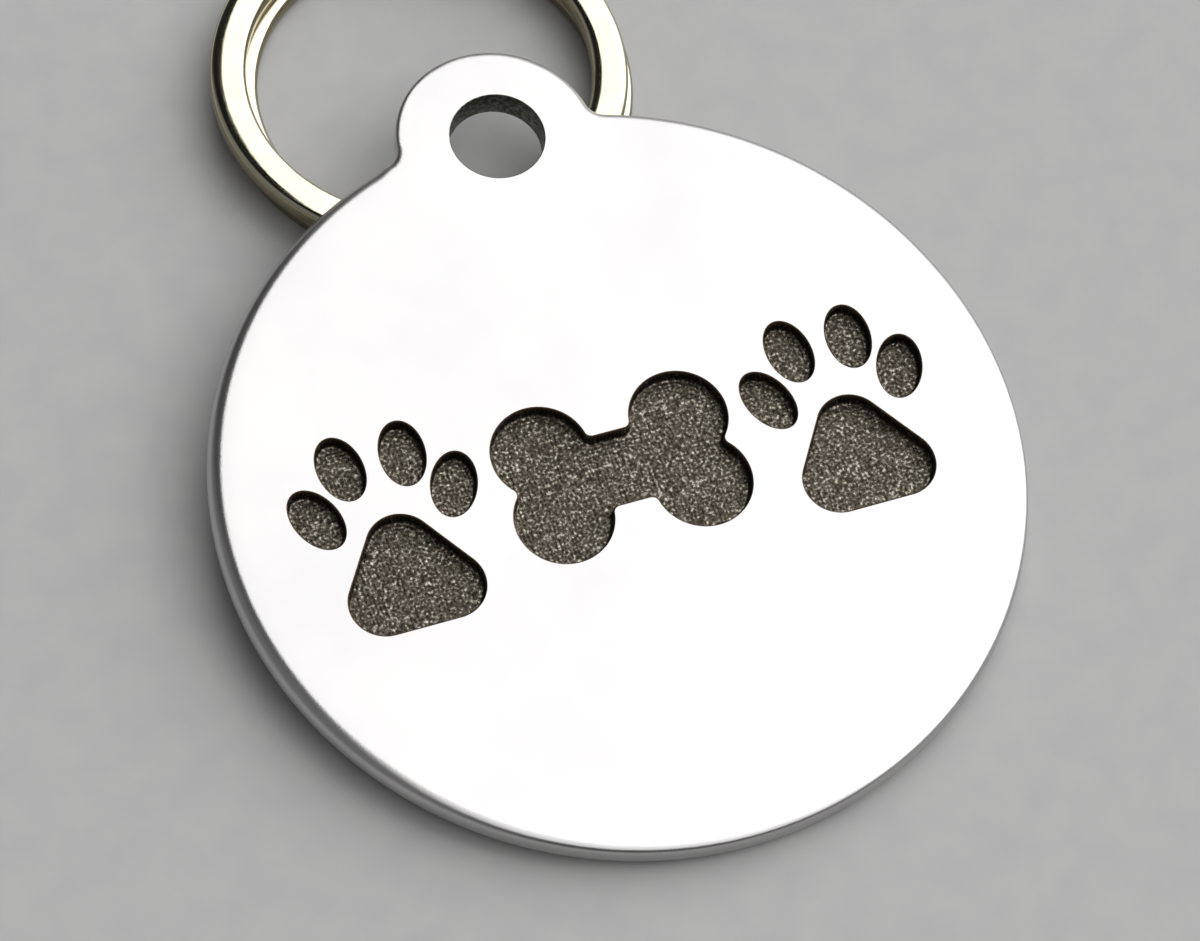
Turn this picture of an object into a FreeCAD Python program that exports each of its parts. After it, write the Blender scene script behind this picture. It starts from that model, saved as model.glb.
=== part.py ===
"""Engraved pet identification tag, leaning on the loose split ring that it is sold with.

Millimetres, +Z up, resting on the plane Z = 0. The origin is the bottom centre of the whole.
+Y runs from the rim that the tag rests on towards the ring, and +X is to the right of that.
"""
import FreeCAD
import Part

import math
import os

Vector = FreeCAD.Vector

# Tag plate: a disc with a lug for the ring.
disc_diameter = 32.0
plate_thickness = 1.35
rim_round = 0.6             # radius of the tumbled edge round both faces
rim_bevels = 4              # fine bevels that make up that round, at each face
lug_radius = 4.1
lug_reach = 15.3            # disc centre to lug centre
lug_corner_round = 0.8      # inside corners where the lug meets the disc
hole_diameter = 3.8
hole_wall = 2.2             # metal between the hole and the lug's tip

# Engraved row on the upper face: a paw print, a bone and a paw print.
engraving_depth = 0.6
row_margin = 3.0            # bare metal between each end of the row and the disc's edge
motif_gap = 0.7             # bare metal between neighbouring motifs
paw_width = 7.5
paw_height = 8.6
toe_width = 1.8
toe_length = 2.8
inner_toe_spread = 2.5      # between the centres of the two middle toes
outer_toe_drop = 1.8        # outer toes' centres below the middle ones
inner_toe_splay = 6.0       # degrees
outer_toe_splay = 22.0      # degrees
pad_width = 5.4
pad_height = 4.8
pad_crown_radius = 1.35
pad_heel_radius = 1.4
bone_height = 6.8
bone_knob_radius = 1.95
bone_shaft_width = 3.1
bone_notch_round = 0.3      # radius in the notches between knobs and shaft

# Split ring: one flattened wire wound two turns, with a joggle from the upper turn to the lower.
ring_diameter = 17.1        # outside the upper turn
wire_width = 1.48
wire_height = 1.0
wire_crown = 0.05           # rise of the two broad sides
wire_bevel_width = 0.24     # softened corners of the wire
wire_bevel_height = 0.28
turn_gap = 0.1              # air between the two turns
turn_shift = (0.35, -0.14)  # lower turn's centre from the upper turn's, X and Y
turn_tuck = 0.1             # lower turn's radius less than the upper turn's
joggle_place = 82.0         # degrees round the ring from +X, at the joggle's middle
joggle_span = 36.0          # degrees
joggle_sections = 7
end_gap = 3.0               # degrees between the joggle and each end of the wire
end_taper = 9.0             # degrees over which each end is ground thinner
end_thickness = 0.55        # wire's height left at its two ends

# How the two lie together.
lean_span = 27.97           # seen from above: resting rim's round to the ring's crest
ring_aside = -0.17          # ring's centre to the right of the disc's
lug_turn = 3.76             # degrees that the lug points to the right of straight ahead
rest_clearance = 0.03       # air between the tag's back and the ring

disc_radius = disc_diameter / 2
hole_reach = lug_reach + lug_radius - hole_wall - hole_diameter / 2
crest_radius = (ring_diameter - wire_width) / 2
ring_height = 2 * wire_height + turn_gap


broad_half = wire_width / 2 - wire_bevel_width
crown_radius = (broad_half ** 2 + wire_crown ** 2) / (2 * wire_crown)


def tilt_of_tag():
    """Angle at which the back of the plate touches the table's side and the ring's crest."""
    rise = ring_height - crown_radius - rim_round
    span = math.hypot(lean_span, rise)
    spread = rim_round + crown_radius + rest_clearance
    return math.atan2(rise, lean_span) + math.asin(spread / span)


tilt = tilt_of_tag()

# Distances along Y from the centre of the resting rim's round.
disc_centre_y = (disc_radius - rim_round) * math.cos(tilt) + rim_round * math.sin(tilt)
ring_centre_y = lean_span + crest_radius
front_y = -rim_round - (plate_thickness - 2 * rim_round) * math.sin(tilt)
back_y = ring_centre_y + ring_diameter / 2
middle_y = (front_y + back_y) / 2


def polar(radius, degrees, z=0.0, centre=Vector()):
    """Point at a distance and direction from a centre, at height z."""
    a = math.radians(degrees)
    return centre + Vector(radius * math.cos(a), radius * math.sin(a), z)


def arc(first, middle, last):
    """Arc edge through three points."""
    return Part.Arc(first, middle, last).toShape()


def prism(wire, depth):
    """Solid standing on a flat closed wire."""
    return Part.Face(wire).extrude(Vector(0, 0, depth))


# ---- tag ----

def inside_corner():
    """Centre of the round between lug and disc, on the +X side, and its two ends."""
    to_disc = disc_radius + lug_corner_round
    to_lug = lug_radius + lug_corner_round
    y = (to_disc ** 2 - to_lug ** 2 + lug_reach ** 2) / (2 * lug_reach)
    centre = Vector(math.sqrt(to_disc ** 2 - y ** 2), y, 0)
    lug_centre = Vector(0, lug_reach, 0)
    on_disc = centre * (disc_radius / to_disc)
    on_lug = lug_centre + (centre - lug_centre) * (lug_radius / to_lug)
    return centre, on_disc, on_lug


def mirrored(point):
    """The same point on the other side of the lug's axis."""
    return Vector(-point.x, point.y, point.z)


def tag_outline(inset, z):
    """Disc, inside corners and lug as one closed wire, lug towards +Y, drawn in by `inset`."""
    centre, on_disc, on_lug = inside_corner()
    disc_in = on_disc * ((disc_radius - inset) / disc_radius)
    lug_in = centre + (on_lug - centre) * ((lug_corner_round + inset) / lug_corner_round)
    between = (on_disc + on_lug) * 0.5 - centre
    corner_in = centre + between * ((lug_corner_round + inset) / between.Length)
    tip = Vector(0, lug_reach + lug_radius - inset, 0)
    foot = Vector(0, inset - disc_radius, 0)
    wire = Part.Wire([
        arc(disc_in, foot, mirrored(disc_in)),
        arc(mirrored(disc_in), mirrored(corner_in), mirrored(lug_in)),
        arc(mirrored(lug_in), tip, lug_in),
        arc(lug_in, corner_in, disc_in),
    ])
    wire.translate(Vector(0, 0, z))
    return wire


def plate():
    """The plate, its edge rounded at both faces in fine bevels."""
    outlines = []
    for face in (-1, 1):
        round_z = rim_round if face < 0 else plate_thickness - rim_round
        for step in range(rim_bevels + 1):
            share = step / rim_bevels if face > 0 else 1 - step / rim_bevels
            a = share * math.pi / 2
            inset = rim_round * (1 - math.cos(a))
            outlines.append(tag_outline(inset, round_z + face * rim_round * math.sin(a)))
    return Part.makeLoft(outlines, True, True)


def between_on_round(centre, first, last):
    """Point on the round about `centre`, halfway between two of its points."""
    middle = (first + last) * 0.5 - centre
    return centre + middle * ((first - centre).Length / middle.Length)


def rounded_hull(circles):
    """Closed wire round circles (x, y, radius), listed anticlockwise, with straight tangents."""
    tangents = []
    for (x1, y1, r1), (x2, y2, r2) in zip(circles, circles[1:] + circles[:1]):
        along = math.atan2(y2 - y1, x2 - x1)
        out = along - math.acos((r1 - r2) / math.hypot(x2 - x1, y2 - y1))
        tangents.append((polar(r1, math.degrees(out), 0, Vector(x1, y1, 0)),
                         polar(r2, math.degrees(out), 0, Vector(x2, y2, 0)), out))
    edges = []
    for i, (start, end, out) in enumerate(tangents):
        before = tangents[i - 1]
        x, y, r = circles[i]
        turn = (out - before[2]) % (2 * math.pi)
        half = math.degrees(before[2] + turn / 2)
        edges.append(arc(before[1], polar(r, half, 0, Vector(x, y, 0)), start))
        edges.append(Part.LineSegment(start, end).toShape())
    return Part.Wire(edges)


def toe(x, y, splay):
    """Upright oval, leaning by `splay` degrees anticlockwise."""
    oval = Part.Ellipse(Vector(), toe_length / 2, toe_width / 2)
    wire = Part.Wire([oval.toShape()])
    wire.rotate(Vector(), Vector(0, 0, 1), 90 + splay)
    wire.translate(Vector(x, y, 0))
    return prism(wire, engraving_depth)


def toe_reach(splay):
    """Half of a toe's width and height, as it leans."""
    a = math.radians(splay)
    half_width = math.hypot(toe_width / 2 * math.cos(a), toe_length / 2 * math.sin(a))
    half_height = math.hypot(toe_width / 2 * math.sin(a), toe_length / 2 * math.cos(a))
    return half_width, half_height


def paw(x):
    """Paw print centred at x: a three-lobed pad below four toes."""
    foot = -paw_height / 2
    heel_x = pad_width / 2 - pad_heel_radius
    heel_y = foot + pad_heel_radius
    crown_y = foot + pad_height - pad_crown_radius
    pad = rounded_hull([(-heel_x, heel_y, pad_heel_radius),
                        (heel_x, heel_y, pad_heel_radius),
                        (0, crown_y, pad_crown_radius)])
    inner_y = paw_height / 2 - toe_reach(inner_toe_splay)[1]
    outer_x = paw_width / 2 - toe_reach(outer_toe_splay)[0]
    pieces = [prism(pad, engraving_depth)]
    for side in (-1, 1):
        pieces.append(toe(side * inner_toe_spread / 2, inner_y, -side * inner_toe_splay))
        pieces.append(toe(side * outer_x, inner_y - outer_toe_drop, -side * outer_toe_splay))
    for piece in pieces:
        piece.translate(Vector(x, 0, 0))
    return pieces


def bone(length):
    """Bone lying along X, centred on the disc: a shaft with two knobs at each end."""
    knob = Vector(length / 2 - bone_knob_radius, bone_height / 2 - bone_knob_radius, 0)
    reach = bone_knob_radius + bone_notch_round
    end = Vector(knob.x + math.sqrt(reach ** 2 - knob.y ** 2), 0, 0)
    notch_y = bone_shaft_width / 2 + bone_notch_round
    notch = Vector(knob.x - math.sqrt(reach ** 2 - (notch_y - knob.y) ** 2), notch_y, 0)
    on_end = knob + (end - knob) * (bone_knob_radius / reach)
    on_notch = knob + (notch - knob) * (bone_knob_radius / reach)
    outward = (on_end + on_notch) * 0.5 - knob
    if outward.dot(knob) < 0:
        outward = -outward
    knob_top = knob + outward * (bone_knob_radius / outward.Length)
    in_notch = between_on_round(notch, on_notch, notch - Vector(0, bone_notch_round, 0))
    foot = Vector(notch.x, bone_shaft_width / 2, 0)
    end_tip = Vector(end.x - bone_notch_round, 0, 0)
    edges = []
    for sx in (1, -1):
        for sy in (1, -1):
            def at(point):
                return Vector(sx * point.x, sy * point.y, 0)
            edges.append(arc(at(on_end), at(knob_top), at(on_notch)))
            edges.append(arc(at(on_notch), at(in_notch), at(foot)))
        edges.append(arc(Vector(sx * on_end.x, on_end.y, 0), Vector(sx * end_tip.x, 0, 0),
                         Vector(sx * on_end.x, -on_end.y, 0)))
        edges.append(Part.LineSegment(Vector(foot.x, sx * foot.y, 0),
                                      Vector(-foot.x, sx * foot.y, 0)).toShape())
    return prism(Part.Wire(Part.__sortEdges__(edges)), engraving_depth)


def engraving():
    """All sunk motifs, as solids that reach from the engraved floor to the upper face."""
    row_width = disc_diameter - 2 * row_margin
    paw_x = (row_width - paw_width) / 2
    bone_length = row_width - 2 * paw_width - 2 * motif_gap
    motifs = paw(-paw_x) + [bone(bone_length)] + paw(paw_x)
    for motif in motifs:
        motif.translate(Vector(0, 0, plate_thickness - engraving_depth))
    return motifs


def place_tag(shape):
    """Turn the lug beside the ring's centre, lean the plate back and set its rim on the table."""
    rest = rim_round + (disc_radius - rim_round) * math.sin(tilt) - rim_round * math.cos(tilt)
    shape.rotate(Vector(), Vector(0, 0, 1), -lug_turn)
    shape.rotate(Vector(), Vector(1, 0, 0), math.degrees(tilt))
    shape.translate(Vector(0, disc_centre_y - middle_y, rest))
    return shape


def tag_plate():
    """The engraved tag, leaning on the ring."""
    hole = Part.makeCylinder(hole_diameter / 2, plate_thickness, Vector(0, hole_reach, 0))
    return place_tag(plate().cut([hole] + engraving()))


# ---- split ring ----

def wire_section(degrees, centre, radius, height=wire_height, width=wire_width):
    """Section of the wire, upright in the plane of the ring's radius at that angle.

    `centre` is the turn's centre, at the height of the section's middle, and `radius` is the
    crest's. The broad sides are shallow arcs, and each narrow side is an upright between bevels.
    """
    shrink = height / wire_height
    corner = height / 2 - wire_crown * shrink
    land = corner - wire_bevel_height * shrink
    broad = width / 2 - wire_bevel_width

    def at(r, z):
        return polar(radius + r, degrees, z, centre)

    outer = [at(broad, -corner), at(width / 2, -land), at(width / 2, land), at(broad, corner)]
    inner = [at(-broad, -corner), at(-width / 2, -land), at(-width / 2, land), at(-broad, corner)]
    edges = [arc(outer[-1], at(0, height / 2), inner[-1]),
             arc(inner[0], at(0, -height / 2), outer[0])]
    for corners in (outer, inner):
        for start, end in zip(corners, corners[1:]):
            edges.append(Part.LineSegment(start, end).toShape())
    return Part.Wire(Part.__sortEdges__(edges))


def turns():
    """Centre, at the middle of the wire, and crest radius of the upper and the lower turn."""
    upper = Vector(ring_aside, ring_centre_y - middle_y, ring_height - wire_height / 2)
    lower = Vector(upper.x + turn_shift[0], upper.y + turn_shift[1], wire_height / 2)
    return (upper, crest_radius), (lower, crest_radius - turn_tuck)


def turn(centre, radius, first, last):
    """Wire along a flat arc from one angle to another."""
    face = Part.Face(wire_section(first, centre, radius))
    return face.revolve(centre, Vector(0, 0, 1), last - first)


def joggle(upper, lower, first, last):
    """Wire stepping down from the upper turn to the lower one."""
    sections = []
    for i in range(joggle_sections):
        t = i / (joggle_sections - 1)
        ease = (1 - math.cos(math.pi * t)) / 2
        centre = upper[0] + (lower[0] - upper[0]) * ease
        radius = upper[1] + (lower[1] - upper[1]) * ease
        sections.append(wire_section(first + (last - first) * t, centre, radius))
    return Part.makeLoft(sections, True, False)


def ground_end(centre, radius, full, tip, crest):
    """End of the wire, thinned from the side that faces the other turn.

    `crest` is 1 where the upper side keeps its level, and -1 where the lower side does.
    """
    drop = Vector(0, 0, crest * (wire_height - end_thickness) / 2)
    width = wire_width - (wire_height - end_thickness) / 2
    sections = [wire_section(full, centre, radius),
                wire_section(tip, centre + drop, radius, end_thickness, width)]
    return Part.makeLoft(sections, True, True)


def split_ring():
    """Both turns, the joggle and the ground ends as one unbroken wire."""
    upper, lower = turns()
    first = joggle_place - joggle_span / 2
    last = joggle_place + joggle_span / 2
    top_tip = last + end_gap
    low_tip = first - end_gap
    pieces = [
        joggle(upper, lower, first, last),
        turn(*lower, last, low_tip - end_taper + 360),
        ground_end(*upper, top_tip + end_taper, top_tip, 1),
        ground_end(*lower, low_tip - end_taper, low_tip, -1),
    ]
    return turn(*upper, top_tip + end_taper, first + 360).multiFuse(pieces).removeSplitter()


def least_turn_gap():
    """Least distance between the wire's two turns, measured on points of their facing arcs."""
    rows = []
    for centre, radius in turns():
        ring_points = []
        for degrees in range(0, 360, 4):
            ring_points += wire_section(degrees, centre, radius).discretize(Number=48)
        rows.append(ring_points)
    return min(a.distanceToPoint(b) for a in rows[0] for b in rows[1])


def main():
    os.makedirs("parts", exist_ok=True)
    nodes = {"tag_plate": tag_plate(), "split_ring": split_ring()}
    for name, shape in nodes.items():
        shape.exportStep("parts/" + name + ".step")
        print(name, "valid", shape.isValid(), "solids", len(shape.Solids),
              "volume %.2f mm3" % shape.Volume)
    print("tilt of the tag %.3f degrees" % math.degrees(tilt))
    print("air between tag and ring %.3f mm" % nodes["tag_plate"].distToShape(nodes["split_ring"])[0])
    print("least gap between the wire's turns %.3f mm" % least_turn_gap())


main()
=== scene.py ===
"""Engraved pet identification tag leaning on its loose split ring, on a pale table.

Metres, in the frame of the CAD model. Sizes are in millimetres and come to metres in `MM`.
"""
import math

import bmesh
import bpy
import numpy as np
from mathutils import Matrix, Vector, noise
from mathutils.geometry import delaunay_2d_cdt

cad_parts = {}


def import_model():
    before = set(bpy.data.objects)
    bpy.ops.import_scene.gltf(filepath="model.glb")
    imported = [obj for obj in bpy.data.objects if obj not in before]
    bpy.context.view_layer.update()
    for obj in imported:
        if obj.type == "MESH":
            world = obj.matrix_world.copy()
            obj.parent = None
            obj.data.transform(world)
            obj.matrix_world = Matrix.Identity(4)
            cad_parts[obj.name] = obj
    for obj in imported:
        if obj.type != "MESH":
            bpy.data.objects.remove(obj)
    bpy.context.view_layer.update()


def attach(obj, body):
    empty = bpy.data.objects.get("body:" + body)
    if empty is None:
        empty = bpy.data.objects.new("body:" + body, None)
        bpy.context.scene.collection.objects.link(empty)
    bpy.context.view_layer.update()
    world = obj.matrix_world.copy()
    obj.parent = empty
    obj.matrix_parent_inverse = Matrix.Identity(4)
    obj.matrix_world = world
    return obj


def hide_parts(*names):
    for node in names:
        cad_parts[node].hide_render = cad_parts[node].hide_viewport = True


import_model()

MM = 0.001

# ---- tag, in its own axes: origin at the disc's centre on the back, +Y to the lug, +Z up ----
DISC_RADIUS = 15.984
PLATE = 1.35
RIM_ROUND = 0.6
LUG_RADIUS = 4.09
LUG_REACH = 15.3
LUG_CORNER = 0.8
HOLE_RADIUS = 1.9
HOLE_REACH = 15.3
HOLE_EDGE = 0.04            # softened edge of the hole
FACE_INSET = 1.2            # the face is flat further in than this
FACE_CROWN = 0.012          # how far tumbling lowered the face where its round starts
LUG_FOOT = 15.1             # where the lug's own edge takes over from the disc's

# How full the edge's upper round is, as (degrees, exponent) round the disc and round the lug.
# Set against the photograph, not measured from the edge: 2 is an even circular round.
DISC_FULLNESS = ((0, 3.0), (20, 2.2), (200, 2.0), (220, 2.4), (250, 4.0), (345, 4.0), (360, 3.0))
LUG_FULLNESS = ((0, 2.0), (50, 2.0), (85, 2.6), (110, 4.0), (135, 7.0), (215, 7.0), (240, 2.0),
                (360, 2.0))
CROWN_INSETS = (FACE_INSET, 1.05, 0.9, 0.75)   # of the rows over the crown
ROUND_STEPS = 12            # over each round of the edge
DISC_STEPS = 420
LUG_STEPS = 110
LUG_CORNER_STEPS = 14
HOLE_STEPS = 144
FLOOR = 0.75                # height of the engraved floors

# Where the tag lies: turned beside the ring's centre, leaning back, in the frame.
TAG_TURN = -3.76
TAG_TILT = 4.373607
TAG_PLACE = (0.0, -6.458370, 1.176147)

# Engraved row.
PAW_X = 9.25
PAW_WIDTH = 7.5
PAW_HEIGHT = 8.6
TOE_WIDTH = 1.8
TOE_LENGTH = 2.8
INNER_TOE_SPREAD = 2.5
OUTER_TOE_DROP = 1.8
INNER_SPLAY = 6.0
OUTER_SPLAY = 22.0
PAD_WIDTH = 5.4
PAD_HEIGHT = 4.8
PAD_CROWN = 1.35
PAD_HEEL = 1.4
KNOB_X = 2.85
KNOB_Y = 1.45
KNOB_RADIUS = 1.95
SHAFT_HALF = 1.55
NOTCH_ROUND = 0.3           # rounds in the bone's notches
PAD_STEPS = 40              # round each lobe of a pad
TOE_STEPS = 120
KNOB_STEPS = 80
NOTCH_STEPS = 12
END_NOTCH_STEPS = 8

# How the cutter left the engraving.
LINE_PITCH = 0.155          # between neighbouring cut lines, across the tag
CROSS_PITCH = 0.145         # and along it
LINE_SWAY = 0.05            # how far the lines wander
LINE_RELIEF = 0.013
GRAIN_RELIEF = 0.024
WALL_RIPPLE = 0.03
MOUTH = 0.03                # how far the engraving opens out at the face
WALL_INSET = 0.02
WALL_ROWS = ((0.035, -0.005, 0.2), (0.1, 0.0, 0.7), (0.3, 0.0, 1.0),
             (0.48, -0.015, 0.9), (0.57, -0.06, 0.4))   # (depth, outwards, share of the ripple)
FOOT_INSET = 0.12           # where a wall meets the floor
FOOT_RELIEF = 0.6           # share of the floor's relief there
FLOOR_INSET = 0.145         # the floor's own points lie further in than this
BURN_DEPTH = 0.15           # how far down the walls the burnt edge shows
LOOP_STEP = 0.03            # between the points of a motif's outline
FLOOR_STEP = 0.05           # between the points of an engraved floor

# ---- split ring, in the frame ----
UPPER_CENTRE = (-0.17, 13.920719, 1.6)
LOWER_CENTRE = (0.18, 13.780719, 0.5)
UPPER_RADIUS = 7.81
LOWER_RADIUS = 7.71
WIRE_WIDTH = 1.4798
WIRE_HEIGHT = 1.0
WIRE_CROWN = 2.525          # radius of its two broad sides
WIRE_CORNER = 0.34
TIP_START = 103.0
TAPER = 9.0
STEP_START = 424.0
STEP_END = 460.0
TIP_END = 781.0
TIP_THICKNESS = 0.55
TIP_EDGE = 0.05             # softened edge round each cut end
TIP_STEPS = (0.0, 0.12, 0.37)   # degrees from a cut end to its first sections
CORNER_STEPS = 8            # of the wire's section: along each corner,
BROAD_STEPS = 7             # and along each broad side

SAME_POINT = 1e-9           # points nearer than this are one
CLOSE = 1e-7                # what the triangulation takes for touching
BATCH = 4000                # points tested at a time

STEEL, ETCHED, DRILLED = range(3)


# ---- shapes in the plane ----

def circle_points(centre, radius, first, last, count):
    """Points along an arc, both ends included, angles in degrees."""
    points = []
    for i in range(count + 1):
        a = math.radians(first + (last - first) * i / count)
        points.append((centre[0] + radius * math.cos(a), centre[1] + radius * math.sin(a)))
    return points


def angle_of(point, centre=(0.0, 0.0)):
    return math.degrees(math.atan2(point[1] - centre[1], point[0] - centre[0]))


def tag_outline(inset):
    """Disc, inside corners and lug, anticlockwise, with the same count at every inset."""
    to_disc = DISC_RADIUS + LUG_CORNER
    to_lug = LUG_RADIUS + LUG_CORNER
    y = (to_disc ** 2 - to_lug ** 2 + LUG_REACH ** 2) / (2 * LUG_REACH)
    x = math.sqrt(to_disc ** 2 - y ** 2)
    disc_angle = angle_of((x, y))
    lug_angle = angle_of((x, y), (0.0, LUG_REACH))
    corner = LUG_CORNER + inset
    right = circle_points((x, y), corner, disc_angle + 180, lug_angle + 180,
                          LUG_CORNER_STEPS)
    right.sort(key=lambda p: -p[0])
    lug = circle_points((0, LUG_REACH), LUG_RADIUS - inset, lug_angle, 180 - lug_angle,
                        LUG_STEPS)
    left = [(-px, py) for px, py in reversed(right)]
    disc = circle_points((0, 0), DISC_RADIUS - inset, 180 - disc_angle, 360 + disc_angle,
                         DISC_STEPS)
    return right[:-1] + lug[:-1] + left[:-1] + disc[:-1]


def rounded_hull(circles):
    """Outline round circles (x, y, radius), listed anticlockwise, with straight tangents."""
    outs = []
    for (x1, y1, r1), (x2, y2, r2) in zip(circles, circles[1:] + circles[:1]):
        along = math.atan2(y2 - y1, x2 - x1)
        outs.append(math.degrees(along - math.acos((r1 - r2) / math.hypot(x2 - x1, y2 - y1))))
    points = []
    for i, (x, y, r) in enumerate(circles):
        turn = (outs[i] - outs[i - 1]) % 360
        points += circle_points((x, y), r, outs[i - 1], outs[i - 1] + turn, PAD_STEPS)
    return points


def toe_outline(x, y, splay):
    a = math.radians(splay)
    points = []
    for i in range(TOE_STEPS):
        t = 2 * math.pi * i / TOE_STEPS
        across = TOE_WIDTH / 2 * math.cos(t)
        along = TOE_LENGTH / 2 * math.sin(t)
        points.append((x + across * math.cos(a) - along * math.sin(a),
                       y + across * math.sin(a) + along * math.cos(a)))
    return points


def paw_outlines(x):
    """A three-lobed pad below four toes."""
    foot = -PAW_HEIGHT / 2
    heel_x = PAD_WIDTH / 2 - PAD_HEEL
    outlines = [rounded_hull([(x - heel_x, foot + PAD_HEEL, PAD_HEEL),
                              (x + heel_x, foot + PAD_HEEL, PAD_HEEL),
                              (x, foot + PAD_HEIGHT - PAD_CROWN, PAD_CROWN)])]
    inner, outer = math.radians(INNER_SPLAY), math.radians(OUTER_SPLAY)
    reach = math.hypot(TOE_WIDTH / 2 * math.sin(inner), TOE_LENGTH / 2 * math.cos(inner))
    width = math.hypot(TOE_WIDTH / 2 * math.cos(outer), TOE_LENGTH / 2 * math.sin(outer))
    inner_y = PAW_HEIGHT / 2 - reach
    for side in (-1, 1):
        inner_x = x + side * INNER_TOE_SPREAD / 2
        outer_x = x + side * (PAW_WIDTH / 2 - width)
        outlines.append(toe_outline(inner_x, inner_y, -side * INNER_SPLAY))
        outlines.append(toe_outline(outer_x, inner_y - OUTER_TOE_DROP, -side * OUTER_SPLAY))
    return outlines


def bone_outline():
    """A shaft with two knobs at each end, and small rounds in the notches between them."""
    knob = (KNOB_X, KNOB_Y)
    reach = KNOB_RADIUS + NOTCH_ROUND
    end = (KNOB_X + math.sqrt(reach ** 2 - KNOB_Y ** 2), 0.0)
    notch_y = SHAFT_HALF + NOTCH_ROUND
    notch = (KNOB_X - math.sqrt(reach ** 2 - (notch_y - KNOB_Y) ** 2), notch_y)
    to_end = angle_of(end, knob)
    to_notch = angle_of(notch, knob)
    quarter = circle_points(end, NOTCH_ROUND, 180, angle_of(knob, end),
                            END_NOTCH_STEPS)
    quarter += circle_points(knob, KNOB_RADIUS, to_end, to_notch, KNOB_STEPS)
    quarter += circle_points(notch, NOTCH_ROUND, angle_of(knob, notch), -90, NOTCH_STEPS)
    upper = quarter + [(-px, py) for px, py in reversed(quarter)]
    return upper + [(px, -py) for px, py in reversed(upper)]


def spaced(outline, step):
    """The closed outline again, as an array of evenly spaced points, anticlockwise."""
    line = np.array(outline + outline[:1], float)
    lengths = np.hypot(*np.diff(line, axis=0).T)
    line = line[np.r_[True, lengths > SAME_POINT]]
    lengths = lengths[lengths > SAME_POINT]
    reach = np.r_[0, np.cumsum(lengths)]
    count = int(round(reach[-1] / step))
    at = np.arange(count) * reach[-1] / count
    points = np.c_[np.interp(at, reach, line[:, 0]), np.interp(at, reach, line[:, 1])]
    x, y = points.T
    if np.sum(x * np.roll(y, -1) - np.roll(x, -1) * y) < 0:
        points = points[::-1]
    return points


def outward(points):
    """Unit normals of a closed anticlockwise outline, pointing out of it."""
    along = np.roll(points, -2, axis=0) - np.roll(points, 2, axis=0)
    along /= np.hypot(*along.T)[:, None]
    return np.c_[along[:, 1], -along[:, 0]]


def inside(points, outline):
    """Which points lie within a closed outline."""
    within = np.zeros(len(points), bool)
    ends = np.roll(outline, -1, axis=0)
    for first in range(0, len(points), BATCH):
        x, y = points[first:first + BATCH].T
        crossings = np.zeros(len(x), int)
        for (x1, y1), (x2, y2) in zip(outline, ends):
            if y1 == y2:
                continue
            spans = (y1 > y) != (y2 > y)
            crossings += spans & (x < (x2 - x1) * (y - y1) / (y2 - y1) + x1)
        within[first:first + BATCH] = crossings % 2 == 1
    return within


# ---- meshes ----

class Surface:
    """Points and faces of one piece, gathered in millimetres."""

    def __init__(self):
        self.points = []
        self.faces = []
        self.finishes = []
        self.sharp = set()
        self.marks = {}

    def row(self, flat, height):
        """Adds points, each with the height given or with its own, and returns their numbers."""
        first = len(self.points)
        heights = np.broadcast_to(height, len(flat))
        self.points += [(float(p[0]), float(p[1]), float(z)) for p, z in zip(flat, heights)]
        return list(range(first, len(self.points)))

    def mark(self, name, row, levels):
        """Gives the points of a row a level each, which a material reads by this name."""
        self.marks.setdefault(name, {}).update(zip(row, np.broadcast_to(levels, len(row))))

    def bridge(self, lower, upper, finish):
        """Faces between two closed rows of the same count."""
        for i, (a, b) in enumerate(zip(lower, upper)):
            self.faces.append((lower[i - 1], a, b, upper[i - 1]))
            self.finishes.append(finish)

    def crease(self, row):
        """Marks a closed row as an edge that shades sharp."""
        for i, a in enumerate(row):
            self.sharp.add(frozenset((row[i - 1], a)))

    def fill(self, outline, holes, extra, finish):
        """Triangles within a row, round the rows of its holes, through the extra points."""
        numbers = [i for row in [outline] + holes for i in row] + extra
        flat = [Vector(self.points[i][:2]) for i in numbers]
        edges = []
        first = 0
        for row in [outline] + holes:
            count = len(row)
            edges += [(first + i, first + (i + 1) % count) for i in range(count)]
            first += count
        result = delaunay_2d_cdt(flat, edges, [], 0, CLOSE, True)
        triangles = np.array([f for f in result[2] if len(f) == 3])
        places = np.array([tuple(v) for v in result[0]])
        source = [orig[0] if orig else -1 for orig in result[3]]
        middles = places[triangles].mean(axis=1)
        kept = np.zeros(len(triangles), bool)
        on_rows = (triangles < first).all(axis=1)
        kept[~on_rows] = True
        checked = np.nonzero(on_rows)[0]
        held = inside(middles[checked], np.array([self.points[i][:2] for i in outline]))
        for row in holes:
            held &= ~inside(middles[checked], np.array([self.points[i][:2] for i in row]))
        kept[checked] = held
        for triangle in triangles[kept]:
            self.faces.append(tuple(numbers[source[i]] for i in triangle))
            self.finishes.append(finish)

    def build(self, name, materials):
        mesh = bpy.data.meshes.new(name)
        mesh.from_pydata([tuple(c * MM for c in p) for p in self.points], [], self.faces)
        mesh.polygons.foreach_set("material_index", self.finishes)
        mesh.polygons.foreach_set("use_smooth", [True] * len(self.faces))
        for edge in mesh.edges:
            if frozenset(edge.vertices) in self.sharp:
                edge.use_edge_sharp = True
        for material in materials:
            mesh.materials.append(material)
        for mark, levels in self.marks.items():
            layer = mesh.attributes.new(mark, "FLOAT", "POINT")
            layer.data.foreach_set("value", [levels.get(i, 0.0) for i in range(len(self.points))])
        facing_out(mesh)
        piece = bpy.data.objects.new(name, mesh)
        bpy.context.scene.collection.objects.link(piece)
        return piece


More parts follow.
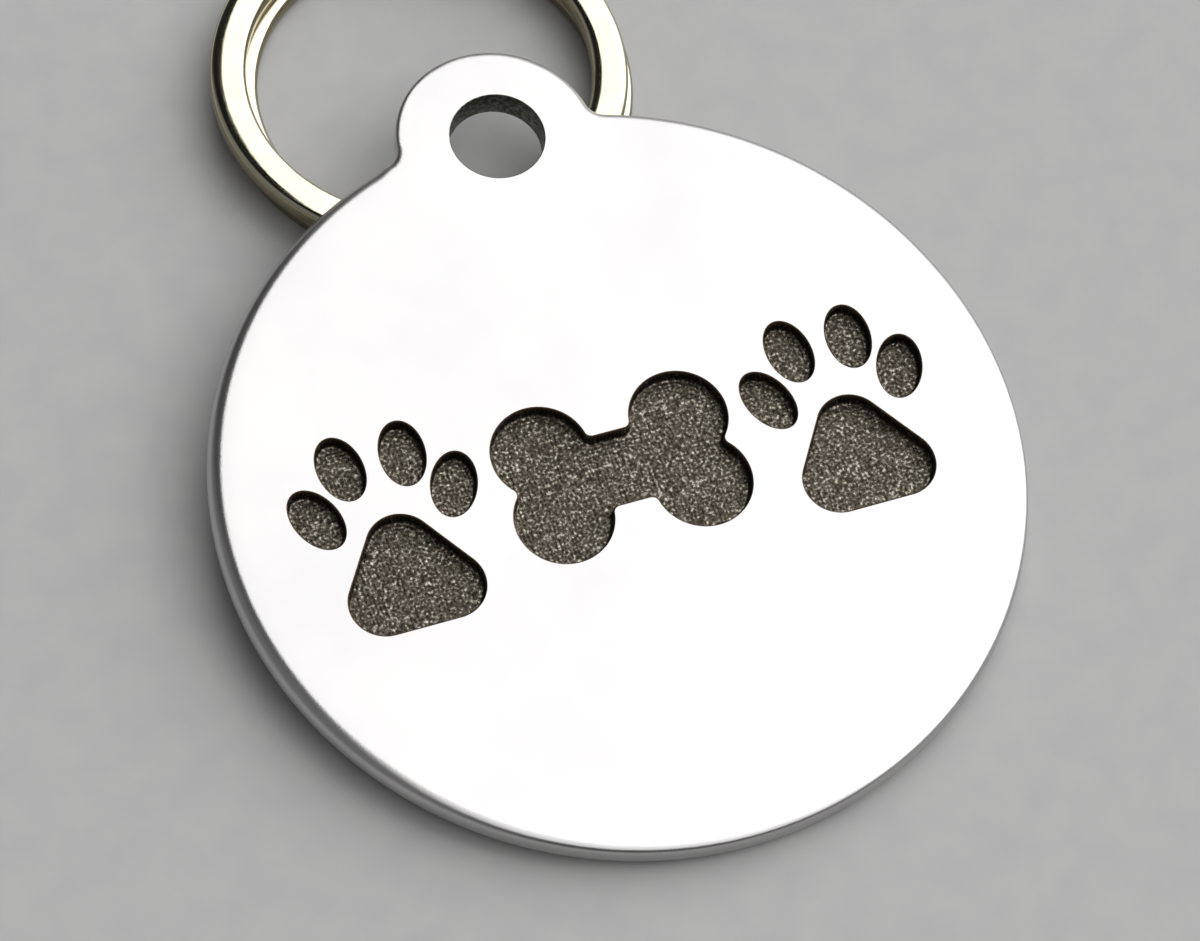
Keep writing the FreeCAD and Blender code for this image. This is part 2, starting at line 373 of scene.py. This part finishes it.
def facing_out(mesh):
    """Turns all faces outwards."""
    work = bmesh.new()
    work.from_mesh(mesh)
    bmesh.ops.recalc_face_normals(work, faces=work.faces)
    work.to_mesh(mesh)
    work.free()
    mesh.update()


def around(point, table, centre=(0.0, 0.0)):
    """A level that runs on straight between the (degrees, level) pairs of a table."""
    degrees = angle_of(point, centre) % 360
    return float(np.interp(degrees, [pair[0] for pair in table], [pair[1] for pair in table]))


def fullness(point):
    """Exponent of the edge's round at a point of the outline: 2 is circular, more is squarer."""
    of_disc = around(point, DISC_FULLNESS)
    of_lug = around(point, LUG_FULLNESS, (0.0, LUG_REACH))
    on_lug = min(max(point[1] - LUG_FOOT, 0.0), 1.0)
    return of_disc + (of_lug - of_disc) * on_lug


def round_at(step, power):
    """(inset, drop, turn) of one step over the edge's round, for each exponent."""
    a = math.radians(90 * step / ROUND_STEPS)
    sine, cosine = math.sin(a), max(math.cos(a), 0.0)
    inset = RIM_ROUND * (1 - sine ** (2 / power))
    drop = RIM_ROUND * (1 - cosine ** (2 / power)) + FACE_CROWN * cosine ** 2
    turn = np.arctan2(sine ** (2 - 2 / power), cosine ** (2 - 2 / power)) * 2 / math.pi
    return inset, drop, turn


def rim_rows():
    """(points, heights, turns) from the flat upper face, over both rounds, to the flat back.

    `turns` says how far the surface has turned from the face, 1 on the side.
    """
    outer = np.array(tag_outline(0.0))
    inward = np.array(tag_outline(1.0)) - outer
    power = np.array([fullness(p) for p in outer])
    plain = np.full(len(outer), 2.0)
    crowned = FACE_INSET - RIM_ROUND
    rows = []
    for inset in CROWN_INSETS:
        drop = FACE_CROWN * ((FACE_INSET - inset) / crowned) ** 2
        rows.append((outer + inward * inset, np.full(len(outer), PLATE - drop),
                     np.zeros(len(outer))))
    for i in range(ROUND_STEPS + 1):
        inset, drop, turn = round_at(i, power)
        rows.append((outer + inward * inset[:, None], PLATE - drop, turn))
    for i in range(ROUND_STEPS, -1, -1):
        inset, drop, turn = round_at(i, plain)
        rows.append((outer + inward * inset[:, None], drop, turn))
    return rows


def line_ridge(position, pitch):
    """0 in the middle of a cut line and 1 between two lines."""
    return 0.5 - 0.5 * math.cos(2 * math.pi * position / pitch)


def rough(x, y, scale, layer):
    """Smooth noise in the plane, about `scale` lumps to a millimetre, another in each layer."""
    return noise.noise(Vector((x * scale, y * scale, layer)))


def floor_relief(x, y):
    """Height of the engraved floor over its level: crossing cut lines and melted grains."""
    sway = LINE_SWAY * rough(x, y, 1.3, 3.0)
    lines = line_ridge(x + sway, LINE_PITCH) + line_ridge(y - sway, CROSS_PITCH)
    relief = LINE_RELIEF * (lines - 1) * (1 + rough(x, y, 2.2, 0.0))
    grains = rough(x, y, 7.0, 5.0)
    fine = rough(x, y, 15.0, 9.0)
    return relief + GRAIN_RELIEF * (0.7 * grains + 0.5 * fine)


def wall_ripple(x, y, nx, ny):
    """How far a cut line's end bites into a wall that faces (nx, ny)."""
    across = abs(ny) * (1 - line_ridge(x, LINE_PITCH))
    along = abs(nx) * (1 - line_ridge(y, CROSS_PITCH))
    return WALL_RIPPLE * (across + 0.6 * along)


def engrave(surface, outline):
    """Sinks one motif: a thin burnt edge, rippled walls, and a rough floor. Returns its edge."""
    points = spaced(outline, LOOP_STEP)
    normals = outward(points)
    ripple = np.array([wall_ripple(*p, *n) for p, n in zip(points, normals)])[:, None]
    edge = surface.row(points + normals * MOUTH, PLATE)
    surface.crease(edge)
    surface.mark("burnt", edge, 1.0)
    rows = [edge]
    for depth, out, share in WALL_ROWS:
        moved = points + normals * (out + ripple * share - WALL_INSET)
        rows.append(surface.row(moved, PLATE - depth))
        surface.mark("burnt", rows[-1], max(0.0, 1 - depth / BURN_DEPTH))
    foot = points - normals * FOOT_INSET
    relief = np.array([floor_relief(x, y) for x, y in foot])
    rows.append(surface.row(foot, FLOOR + FOOT_RELIEF * relief))
    for upper, lower in zip(rows, rows[1:]):
        surface.bridge(lower, upper, ETCHED)
    low = foot.min(axis=0)
    high = foot.max(axis=0)
    grid = np.stack(np.meshgrid(np.arange(low[0], high[0], FLOOR_STEP),
                                np.arange(low[1], high[1], FLOOR_STEP)), axis=-1)
    grid[1::2, :, 0] += FLOOR_STEP / 2
    grid = grid.reshape(-1, 2)
    grid = grid[inside(grid, points - normals * FLOOR_INSET)]
    heights = np.array([FLOOR + floor_relief(x, y) for x, y in grid])
    surface.fill(rows[-1], [], surface.row(grid, heights), ETCHED)
    return edge


def drill(surface):
    """The ring's hole, with both edges softened. Returns its edge on the face and on the back."""
    part = HOLE_EDGE * 0.3
    rows = []
    for out, height in ((HOLE_EDGE, PLATE), (part, PLATE - part), (0.0, PLATE - HOLE_EDGE),
                        (0.0, PLATE / 2), (0.0, HOLE_EDGE), (part, part), (HOLE_EDGE, 0.0)):
        rim = circle_points((0, HOLE_REACH), HOLE_RADIUS + out, 0, 360, HOLE_STEPS)[:-1]
        rows.append(surface.row(rim, height))
    for upper, lower in zip(rows, rows[1:]):
        surface.bridge(lower, upper, DRILLED)
    surface.crease(rows[0])
    surface.crease(rows[-1])
    return rows[0], rows[-1]


def tag_plate(materials):
    surface = Surface()
    rows = []
    for points, heights, turns in rim_rows():
        rows.append(surface.row(points, heights))
        surface.mark("rim_turn", rows[-1], turns)
    for upper, lower in zip(rows, rows[1:]):
        surface.bridge(upper, lower, STEEL)
    top_hole, back_hole = drill(surface)
    outlines = paw_outlines(-PAW_X) + [bone_outline()] + paw_outlines(PAW_X)
    edges = [engrave(surface, outline) for outline in outlines]
    surface.fill(rows[0], [top_hole] + edges, [], STEEL)
    surface.fill(rows[-1], [back_hole], [], STEEL)
    piece = surface.build("tag_plate_engraved", materials)
    piece.data.transform(Matrix.Translation(Vector(TAG_PLACE) * MM)
                         @ Matrix.Rotation(math.radians(TAG_TILT), 4, "X")
                         @ Matrix.Rotation(math.radians(TAG_TURN), 4, "Z"))
    return piece


def wire_outline(width, height, corner):
    """Section of the wire, (out, up) from its middle: two shallow arcs and round corners."""
    reach = width / 2 - corner
    lift = height / 2 - WIRE_CROWN + math.sqrt((WIRE_CROWN - corner) ** 2 - reach ** 2)
    lean = math.degrees(math.asin(reach / (WIRE_CROWN - corner)))
    right = circle_points((reach, lift), corner, 0, 90 - lean, CORNER_STEPS)
    middle = (0, height / 2 - WIRE_CROWN)
    top = circle_points(middle, WIRE_CROWN, 90 - lean, 90 + lean, BROAD_STEPS)
    left = [(-x, y) for x, y in reversed(right)]
    half = right[:-1] + top[:-1] + left
    return half + [(-x, -y) for x, y in half]


def wire_place(angle):
    """Centre and radius of the turn that the wire is on at an angle along it."""
    t = min(max((angle - STEP_START) / (STEP_END - STEP_START), 0), 1)
    ease = (1 - math.cos(math.pi * t)) / 2
    centre = Vector(UPPER_CENTRE).lerp(Vector(LOWER_CENTRE), ease)
    return centre, UPPER_RADIUS + (LOWER_RADIUS - UPPER_RADIUS) * ease


def wire_section(angle):
    """Points of the wire's section at an angle along it, and how near each is to one of its flanks,
    the mask for the painted dark reflection on the flanks.

    The wire is thinner where an end is ground.
    """
    to_tip = min(angle - TIP_START, TIP_END - angle)
    ground = max(0.0, 1 - to_tip / TAPER)
    height = WIRE_HEIGHT + (TIP_THICKNESS - WIRE_HEIGHT) * ground
    width = WIRE_WIDTH - (WIRE_HEIGHT - height) / 2
    corner = WIRE_CORNER * height / WIRE_HEIGHT
    shift = (WIRE_HEIGHT - height) / 2
    if angle > STEP_END:
        shift = -shift
    centre, radius = wire_place(angle)
    edge = max(0.0, TIP_EDGE - to_tip * math.radians(1) * radius)
    a = math.radians(angle)
    points = []
    flanks = []
    for out, up in wire_outline(width - 2 * edge, height - 2 * edge, corner - edge * 0.5):
        r = radius + out
        points.append((centre.x + r * math.cos(a), centre.y + r * math.sin(a),
                       centre.z + shift + up))
        flanks.append(abs(out) * 2 / width)
    return points, flanks


def split_ring(material):
    surface = Surface()
    angles = [TIP_START + step for step in TIP_STEPS]
    angles += list(np.arange(TIP_START + 1, TIP_END - 0.5, 1.0))
    angles += [TIP_END - step for step in reversed(TIP_STEPS)]
    rows = []
    for angle in angles:
        section, flanks = wire_section(angle)
        rows.append(surface.row([p[:2] for p in section], [p[2] for p in section]))
        # How near each point is to the wire's flanks, where the wire's material paints a dark
        # reflection.
        surface.mark("flank_painted_reflection", rows[-1], flanks)
    for before, after in zip(rows, rows[1:]):
        surface.bridge(before, after, 0)
    for row in (rows[0], rows[-1][::-1]):
        surface.faces.append(tuple(row))
        surface.finishes.append(0)
        surface.crease(row)
    piece = surface.build("split_ring_wire", [material])
    layer = piece.data.uv_layers.new(name="wire")
    along = {}
    for angle, row in zip(angles, rows):
        for i, number in enumerate(row):
            along[number] = (math.radians(angle) * UPPER_RADIUS, i / len(row))
    for loop in piece.data.loops:
        layer.data[loop.index].uv = along[loop.vertex_index]
    return piece


# ---- materials ----

def set_stops(ramp, stops):
    """Gives a ramp node its (position, colour) stops. A colour may be one grey level."""
    elements = ramp.color_ramp.elements
    for i, (at, colour) in enumerate(stops):
        element = elements[i] if i < 2 else elements.new(at)
        element.position = at
        level = colour if isinstance(colour, tuple) else (colour,) * 3
        element.color = (*level, 1)


class Finish:
    """A Principled material and the nodes that vary it, with patterns scaled per millimetre."""

    def __init__(self, name, **values):
        self.material = bpy.data.materials.new(name)
        self.material.use_nodes = True
        self.tree = self.material.node_tree
        self.shader = self.tree.nodes["Principled BSDF"]
        for key, value in values.items():
            self.shader.inputs[key.replace("_", " ")].default_value = value
        place = self.node("ShaderNodeTexCoord").outputs["Object"]
        self.place = self.scaled(place, (1 / MM,) * 3)

    def node(self, kind, **settings):
        made = self.tree.nodes.new(kind)
        for key, value in settings.items():
            setattr(made, key, value)
        return made

    def link(self, output, target):
        self.tree.links.new(output, target)

    def scaled(self, vector, scale):
        made = self.node("ShaderNodeVectorMath", operation="MULTIPLY")
        self.link(vector, made.inputs[0])
        made.inputs[1].default_value = scale
        return made.outputs["Vector"]

    def noise(self, scale, detail=2.0, stretch=(1, 1, 1), vector=None):
        made = self.node("ShaderNodeTexNoise")
        made.inputs["Scale"].default_value = scale
        made.inputs["Detail"].default_value = detail
        self.link(self.scaled(vector or self.place, stretch), made.inputs["Vector"])
        return made.outputs["Fac"]

    def level(self, mark):
        """A level that the mesh carries at its points."""
        return self.node("ShaderNodeAttribute", attribute_name=mark).outputs["Fac"]

    def ramp(self, value, stops):
        """Colours or levels along a value. A level is one number."""
        made = self.node("ShaderNodeValToRGB")
        set_stops(made, stops)
        self.link(value, made.inputs["Fac"])
        return made.outputs["Color"]

    def math(self, operation, a, b):
        made = self.node("ShaderNodeMath", operation=operation)
        for socket, value in zip(made.inputs, (a, b)):
            if isinstance(value, (int, float)):
                socket.default_value = value
            else:
                self.link(value, socket)
        return made.outputs["Value"]

    def mix(self, factor, a, b):
        """Colour b over colour a by a factor."""
        made = self.node("ShaderNodeMix", data_type="RGBA")
        self.link(factor, made.inputs["Factor"])
        for name, value in (("A", a), ("B", b)):
            socket = [s for s in made.inputs if s.name == name and s.type == "RGBA"][0]
            if isinstance(value, tuple):
                socket.default_value = (*value, 1)
            else:
                self.link(value, socket)
        return [s for s in made.outputs if s.type == "RGBA"][0]

    def drive(self, name, output):
        self.link(output, self.shader.inputs[name])

    def bump(self, *layers):
        """Stacks (height, depth in millimetres) layers into the shader's normal."""
        normal = None
        for height, depth in layers:
            made = self.node("ShaderNodeBump")
            made.inputs["Strength"].default_value = 1.0
            made.inputs["Distance"].default_value = depth * MM
            self.link(height, made.inputs["Height"])
            if normal:
                self.link(normal, made.inputs["Normal"])
            normal = made.outputs["Normal"]
        self.drive("Normal", normal)


def brushed_steel():
    finish = Finish("brushed_steel", Metallic=1.0)
    smudge = finish.noise(0.22, 3.0)
    grain = finish.noise(9.0, 3.0)
    face = finish.ramp(smudge, [(0.3, (0.52, 0.512, 0.515)), (0.7, (0.57, 0.562, 0.557))])
    turn = finish.level("rim_turn")
    finish.drive("Base Color", face)
    polished = finish.ramp(smudge, [(0.3, 0.22), (0.7, 0.27)])
    finish.drive("Roughness", finish.math("MAXIMUM", polished,
                                          finish.ramp(turn, [(0.03, 0.22), (0.25, 0.33)])))
    finish.bump((grain, 0.004))
    return finish.material


def etched_steel():
    finish = Finish("etched_steel", Metallic=1.0)
    grain = finish.noise(8.0, 4.0)
    patch = finish.noise(1.2, 3.0)
    dark = finish.ramp(grain, [(0.38, (0.024, 0.020, 0.015)), (0.56, (0.095, 0.083, 0.066)),
                               (0.72, (0.48, 0.45, 0.385))])
    floor = finish.mix(finish.ramp(patch, [(0.35, 0.0), (0.75, 0.45)]), dark,
                       (0.05, 0.043, 0.034))
    finish.drive("Base Color", finish.mix(finish.level("burnt"), floor, (0.27, 0.20, 0.135)))
    finish.drive("Roughness", finish.ramp(grain, [(0.35, 0.5), (0.7, 0.28)]))
    finish.bump((finish.noise(14.0, 3.0), 0.012))
    return finish.material


def drilled_steel_and_shade():
    finish = Finish("drilled_steel_and_shade", Metallic=1.0)
    grain = finish.noise(5.0, 4.0)
    # Painted shade: the hole's wall is a rough mottled cut finish, its colour darkened for the
    # shade inside the hole.
    finish.drive("Base Color", finish.ramp(grain, [(0.35, (0.06, 0.062, 0.048)),
                                                   (0.65, (0.24, 0.25, 0.20))]))
    finish.drive("Roughness", finish.ramp(grain, [(0.35, 0.5), (0.7, 0.35)]))
    finish.bump((grain, 0.01), (finish.noise(6.0, 2.0, (1, 1, 3)), 0.008))
    return finish.material


def plated_wire():
    finish = Finish("plated_wire", Metallic=1.0)
    uv = finish.node("ShaderNodeUVMap", uv_map="wire").outputs["UV"]
    drawn = finish.noise(1.0, 3.0, (0.25, 60.0, 1.0), uv)
    cloud = finish.noise(0.5, 3.0)
    crest = finish.ramp(cloud, [(0.3, (0.64, 0.61, 0.46)), (0.7, (0.70, 0.675, 0.53))])
    # Painted reflection: the wire's steep flanks take a dark brown colour that stands for the dark
    # surroundings they mirror.
    flank_painted_reflection = finish.ramp(finish.level("flank_painted_reflection"), [(0.86, 0.0), (0.95, 1.0)])
    finish.drive("Base Color", finish.mix(flank_painted_reflection, crest, (0.26, 0.225, 0.145)))
    finish.drive("Roughness", finish.ramp(drawn, [(0.3, 0.07), (0.7, 0.14)]))
    finish.bump((drawn, 0.002), (finish.noise(2.5, 2.0), 0.003))
    return finish.material


def pale_table():
    finish = Finish("pale_table", Roughness=0.75)
    finish.drive("Base Color", finish.ramp(finish.noise(0.6, 3.0), [(0.3, (0.42, 0.42, 0.42)),
                                                                   (0.7, (0.45, 0.45, 0.445))]))
    return finish.material


# ---- studio ----

# The camera, from a fit to the photograph: its right, its up and where it stands.
VIEW_RIGHT = Vector((0.91782126, -0.39087248, 0.06944662))
VIEW_UP = Vector((0.30700016, 0.80972907, 0.50008973))
VIEW_PLACE = Vector((-44.6488, -82.5721, 152.6795))
LENS = 135.0
SENSOR = 36.0

# Level to the right of the picture, level away from the camera, and up.
ASIDE = Vector((0.8669, -0.4985, 0.0))
AHEAD = Vector((0.4985, 0.8669, 0.0))
UP = Vector((0, 0, 1))

# (name, aside, ahead, up, size in metres, radiance)
LAMP_DISTANCE = 3.0
LAMPS = (("key", 0.425, 0.59, 0.687, (4.95, 4.5), 1.9),
         ("top", 0.33, -0.244, 0.912, (3.58, 2.73), 1.4))

# The world's light by height, and what is added by x, from 0 at -X to 1 at +X. Without the
# second, polished steel looks black from the sides.
SKY = ((0.03, 0.30), (0.12, (0.035, 0.031, 0.031)), (0.5, (0.022, 0.020, 0.021)),
       (0.85, (0.008, 0.008, 0.010)))
SIDE_SKY = ((0.15, (0.18, 0.18, 0.182)), (0.275, 0.0), (0.725, 0.0),
            (0.85, (0.28, 0.28, 0.285)))
TABLE_HALF = 3.0


def columns(x, y, z, place):
    """Placement with these three axes."""
    matrix = Matrix((x, y, z)).transposed().to_4x4()
    matrix.translation = place
    return matrix


def camera():
    data = bpy.data.cameras.new("camera")
    data.lens = LENS
    data.sensor_width = SENSOR
    data.clip_start = 0.01
    data.clip_end = 20.0
    made = bpy.data.objects.new("camera", data)
    bpy.context.scene.collection.objects.link(made)
    right = VIEW_RIGHT.normalized()
    up = (VIEW_UP - right * VIEW_UP.dot(right)).normalized()
    made.matrix_world = columns(right, up, right.cross(up), VIEW_PLACE * MM)
    bpy.context.scene.camera = made


def area_lamp(name, direction, size, radiance):
    """Soft lamp that faces the tag, its width level and to the side."""
    data = bpy.data.lights.new(name, "AREA")
    data.shape = "RECTANGLE"
    data.size, data.size_y = size
    data.energy = radiance * math.pi * size[0] * size[1]
    made = bpy.data.objects.new(name, data)
    bpy.context.scene.collection.objects.link(made)
    away = Vector(direction).normalized()
    up = away.cross(ASIDE).normalized()
    made.matrix_world = columns(up.cross(away), up, away, away * LAMP_DISTANCE)
    made.visible_camera = False


def studio():
    for name, aside, ahead, up, size, radiance in LAMPS:
        area_lamp(name, ASIDE * aside + AHEAD * ahead + UP * up, size, radiance)


def world():
    made = bpy.data.worlds.new("world")
    bpy.context.scene.world = made
    made.use_nodes = True
    tree = made.node_tree
    background = tree.nodes["Background"]
    direction = tree.nodes.new("ShaderNodeTexCoord")
    split = tree.nodes.new("ShaderNodeSeparateXYZ")
    by_height = tree.nodes.new("ShaderNodeValToRGB")
    across = tree.nodes.new("ShaderNodeMath")
    across.operation = "MULTIPLY_ADD"
    across.inputs[1].default_value = 0.5
    across.inputs[2].default_value = 0.5
    by_side = tree.nodes.new("ShaderNodeValToRGB")
    both = tree.nodes.new("ShaderNodeVectorMath")
    set_stops(by_height, SKY)
    set_stops(by_side, SIDE_SKY)
    tree.links.new(direction.outputs["Generated"], split.inputs["Vector"])
    tree.links.new(split.outputs["Z"], by_height.inputs["Fac"])
    tree.links.new(split.outputs["X"], across.inputs[0])
    tree.links.new(across.outputs["Value"], by_side.inputs["Fac"])
    tree.links.new(by_height.outputs["Color"], both.inputs[0])
    tree.links.new(by_side.outputs["Color"], both.inputs[1])
    tree.links.new(both.outputs["Vector"], background.inputs["Color"])


def table():
    mesh = bpy.data.meshes.new("table")
    corners = [(x * TABLE_HALF, y * TABLE_HALF, 0) for x, y in ((-1, -1), (1, -1), (1, 1), (-1, 1))]
    mesh.from_pydata(corners, [], [(0, 1, 2, 3)])
    mesh.materials.append(pale_table())
    made = bpy.data.objects.new("table", mesh)
    bpy.context.scene.collection.objects.link(made)


tag = tag_plate([brushed_steel(), etched_steel(), drilled_steel_and_shade()])
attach(tag, "tag")
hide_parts("tag_plate")
ring = split_ring(plated_wire())
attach(ring, "ring")
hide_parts("split_ring")
camera()
studio()
world()
table()
bpy.context.scene.view_settings.view_transform = "Standard"
